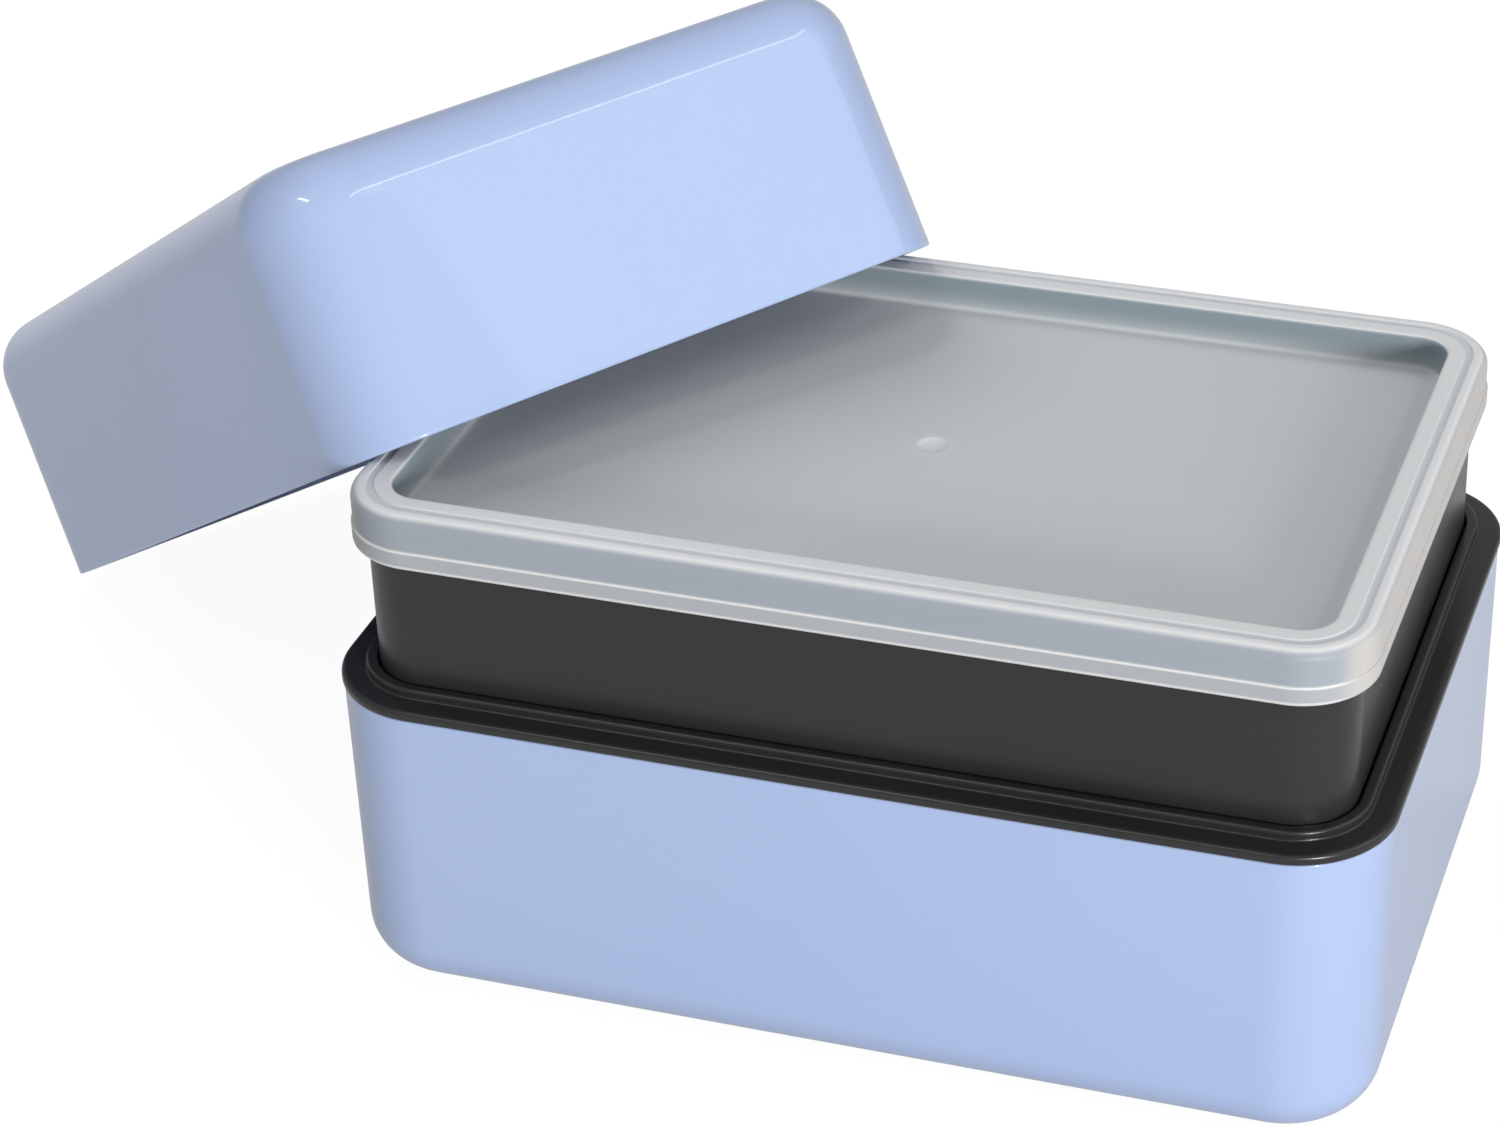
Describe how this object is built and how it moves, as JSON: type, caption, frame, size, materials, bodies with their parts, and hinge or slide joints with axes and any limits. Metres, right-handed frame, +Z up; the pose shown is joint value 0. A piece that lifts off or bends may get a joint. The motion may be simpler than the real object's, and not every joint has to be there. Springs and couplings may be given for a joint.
{
  "type": "bento lunch box",
  "caption": "Rectangular stacking lunch box with a glossy lower bowl, a black tray under a translucent seal lid, and a deep outer cover that leans against it",
  "frame": {"origin": "middle of the lower shell's flat underside, on the surface that the box stands on", "axes": "+X along the long sides, -Y towards the front, +Z up"},
  "size_m": [0.2697, 0.187, 0.1246],
  "materials": {
    "blue_gloss": "glossy moulded plastic",
    "black_satin": "satin moulded plastic",
    "milky_lid": "frosted translucent flexible plastic"
  },
  "bodies": {
    "lower_bowl": {"lower_shell": "blue_gloss", "lower_liner": "black_satin"},
    "upper_container": {"upper_container": "black_satin"},
    "seal_lid": {"seal_lid": "milky_lid"},
    "outer_cover": {"outer_cover": "blue_gloss"}
  },
  "joints": [
    {"name": "container_lift", "type": "slide", "parent": "lower_bowl", "child": "upper_container", "axis": [0, 0, 1], "range_m": [0, 0.05]},
    {"name": "lid_lift", "type": "slide", "parent": "upper_container", "child": "seal_lid", "axis": [0, 0, 1], "range_m": [0, 0.03]},
    {"name": "cover_lift", "type": "slide", "parent": "seal_lid", "child": "outer_cover", "axis": [0, 0, 1], "range_m": [0, 0.1]}
  ]
}
